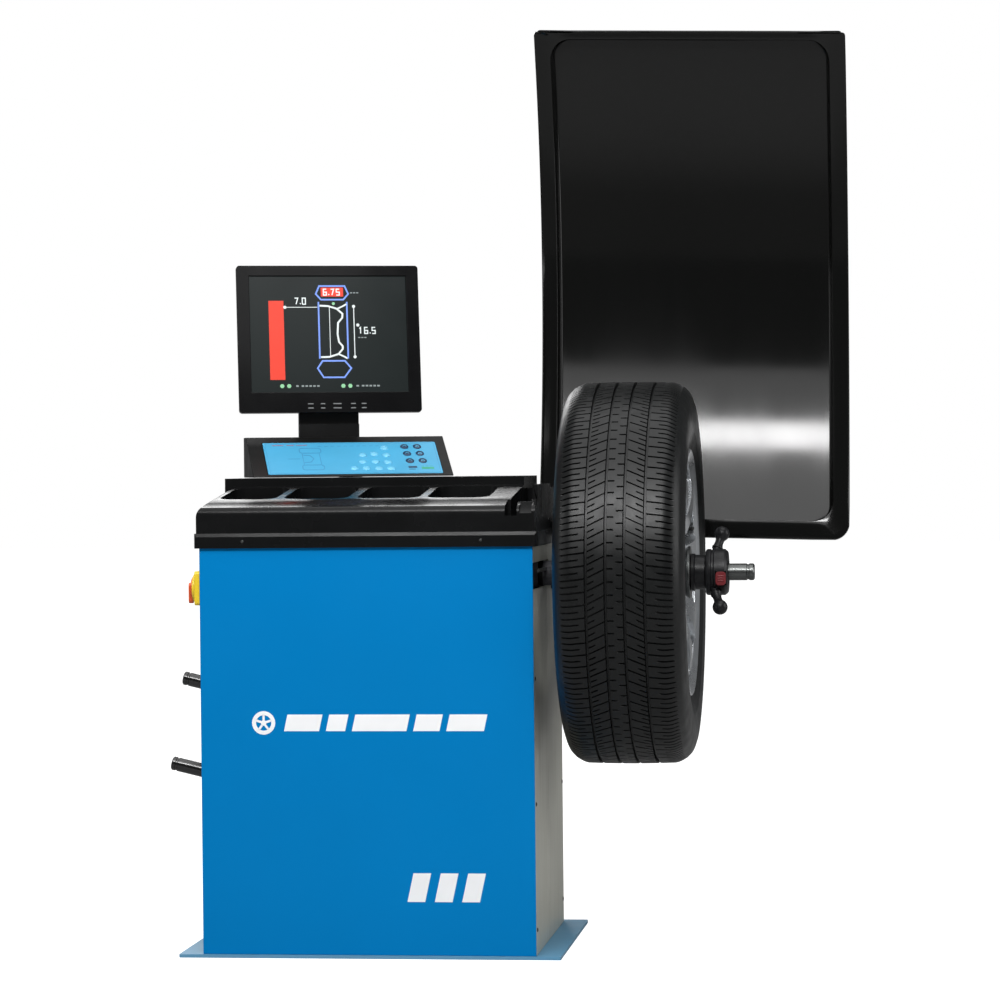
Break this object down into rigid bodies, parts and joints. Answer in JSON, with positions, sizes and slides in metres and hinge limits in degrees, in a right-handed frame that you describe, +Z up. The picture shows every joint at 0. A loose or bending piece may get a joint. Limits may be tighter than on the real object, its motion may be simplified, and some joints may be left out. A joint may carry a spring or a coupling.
{
  "type": "wheel balancer machine",
  "caption": "Free-standing motor-driven wheel balancer: sheet-metal cabinet, weight tray, swivelling keypad and monitor, spindle with a clamped wheel, and a hinged guard hood.",
  "frame": {"origin": "on the floor, on the underside of the base plate, under the middle of the cabinet", "axes": "+X along the spindle towards its free end, -Y towards the operator, +Z up"},
  "size_m": [1.2054, 0.834, 1.6735],
  "materials": {
    "cabinet_blue": "smooth satin blue powder coat",
    "cabinet_grey": "semi-gloss warm grey paint, slightly streaked",
    "black_plastic": "plain black moulded plastic",
    "black_metal": "satin black paint",
    "switch_yellow": "yellow moulded plastic",
    "switch_red": "orange-red moulded plastic",
    "tray_black": "black moulded plastic with a fine texture and shiny edges",
    "cast_iron": "painted casting",
    "steel": "ground steel",
    "sensor_brass": "plain brass",
    "belt_rubber": "ribbed belt rubber",
    "power_box": "grey electrics enclosure",
    "tyre": "tread rubber, slightly sheeny",
    "alloy": "silver lacquered alloy",
    "nut_black": "satin black coat",
    "button_red": "red moulded plastic",
    "head_black": "fine textured black plastic",
    "keypad_blue": "light blue printed membrane",
    "key_dark": "dark blue printed dome",
    "monitor_black": "glossy black bezel",
    "screen": "smooth dark display panel",
    "hood_black": "high-gloss black vacuum-formed plastic"
  },
  "bodies": {
    "base": {"base_plate": "cabinet_blue", "front_panel": "cabinet_blue", "side_panel_left": "cabinet_grey", "side_panel_right": "cabinet_grey", "rear_panel": "cabinet_grey", "mains_inlet": "black_plastic", "inner_frame": "black_metal", "spindle_slot_cover": "black_metal", "cone_peg_upper": "black_plastic", "cone_peg_lower": "black_plastic", "switch_plate": "switch_yellow", "weight_tray": "tray_black", "bearing_housing": "cast_iron", "rear_bearing": "steel", "front_bearing": "steel", "encoder_reader": "black_plastic", "suspension_plate_rear": "steel", "suspension_plate_front": "steel", "force_sensor_rear": "sensor_brass", "force_sensor_front": "sensor_brass", "drive_belt": "belt_rubber", "motor": "cast_iron", "power_box": "power_box", "gauge_guide": "black_plastic", "head_pivot": "black_metal", "hood_bracket_left": "black_metal", "hood_bracket_right": "black_metal"},
    "spindle": {"spindle_shaft": "steel", "spindle_pulley": "black_plastic", "encoder_disc": "steel", "backing_flange": "steel", "tyre": "tyre", "rim": "alloy", "centring_cone": "steel"},
    "nut": {"pressure_cup": "nut_black", "quick_nut": "nut_black", "nut_handle_1": "nut_black", "nut_handle_2": "nut_black"},
    "nut_button": {"nut_release_button": "button_red"},
    "motor_rotor": {"motor_shaft": "steel", "motor_pulley": "black_plastic"},
    "switch": {"switch_knob": "switch_red"},
    "hood": {"hood_shell": "hood_black", "hood_arm": "black_metal", "hood_shaft": "steel"},
    "head": {"head_box": "head_black", "keypad_membrane": "keypad_blue", "monitor_neck": "head_black"},
    "monitor": {"monitor_bezel": "monitor_black", "monitor_screen": "screen", "monitor_back": "head_black"},
    "gauge_slider": {"gauge_rod": "steel"},
    "gauge_finger": {"gauge_arm": "black_metal"},
    "key_1": {"function_key_1": "key_dark"},
    "key_2": {"function_key_2": "key_dark"},
    "key_3": {"function_key_3": "key_dark"},
    "key_4": {"function_key_4": "key_dark"},
    "key_5": {"function_key_5": "key_dark"},
    "key_6": {"function_key_6": "key_dark"}
  },
  "joints": [
    {"name": "spindle_spin", "type": "hinge", "parent": "base", "child": "spindle", "pos_m": [0, -0.057, 0.665], "axis": [1, 0, 0], "continuous": true},
    {"name": "motor_spin", "type": "hinge", "parent": "base", "child": "motor_rotor", "pos_m": [0, -0.057, 0.38], "axis": [1, 0, 0], "continuous": true},
    {"name": "nut_slide", "type": "slide", "parent": "spindle", "child": "nut", "axis": [1, 0, 0], "range_m": [0, 0.04]},
    {"name": "nut_button_press", "type": "slide", "parent": "nut", "child": "nut_button", "axis": [0, 1, 0], "range_m": [0, 0.005], "stiffness_N_per_m": 500, "springref_m": -0.002},
    {"name": "switch_turn", "type": "hinge", "parent": "base", "child": "switch", "pos_m": [-0.2944, -0.196, 0.647], "axis": [-1, 0, 0], "range_deg": [0, 90]},
    {"name": "hood_swing", "type": "hinge", "parent": "base", "child": "hood", "pos_m": [0.1, 0.264, 0.8], "axis": [1, 0, 0], "range_deg": [0, 75]},
    {"name": "head_swivel", "type": "hinge", "parent": "base", "child": "head", "pos_m": [-0.089, 0.164, 0.8392], "axis": [0, 0, 1], "range_deg": [-62, 28]},
    {"name": "monitor_tilt", "type": "hinge", "parent": "head", "child": "monitor", "pos_m": [-0.13773, 0.21394, 0.98952], "axis": [0.9563, 0.2924, 0], "range_deg": [-12, 8]},
    {"name": "gauge_slide", "type": "slide", "parent": "base", "child": "gauge_slider", "axis": [1, 0, 0], "range_m": [0, 0.12]},
    {"name": "gauge_turn", "type": "hinge", "parent": "gauge_slider", "child": "gauge_finger", "pos_m": [0.308, 0.07, 0.64], "axis": [1, 0, 0], "range_deg": [-40, 20]},
    {"name": "key_press_1", "type": "slide", "parent": "head", "child": "key_1", "axis": [-0.1462, 0.4781, -0.866], "range_m": [0, 0.0008], "stiffness_N_per_m": 400, "springref_m": -0.0008},
    {"name": "key_press_2", "type": "slide", "parent": "head", "child": "key_2", "axis": [-0.1462, 0.4781, -0.866], "range_m": [0, 0.0008], "stiffness_N_per_m": 400, "springref_m": -0.0008},
    {"name": "key_press_3", "type": "slide", "parent": "head", "child": "key_3", "axis": [-0.1462, 0.4781, -0.866], "range_m": [0, 0.0008], "stiffness_N_per_m": 400, "springref_m": -0.0008},
    {"name": "key_press_4", "type": "slide", "parent": "head", "child": "key_4", "axis": [-0.1462, 0.4781, -0.866], "range_m": [0, 0.0008], "stiffness_N_per_m": 400, "springref_m": -0.0008},
    {"name": "key_press_5", "type": "slide", "parent": "head", "child": "key_5", "axis": [-0.1462, 0.4781, -0.866], "range_m": [0, 0.0008], "stiffness_N_per_m": 400, "springref_m": -0.0008},
    {"name": "key_press_6", "type": "slide", "parent": "head", "child": "key_6", "axis": [-0.1462, 0.4781, -0.866], "range_m": [0, 0.0008], "stiffness_N_per_m": 400, "springref_m": -0.0008}
  ],
  "couplings": [
    {"joint": "motor_spin", "follows": "spindle_spin", "ratio": 3.5455}
  ]
}
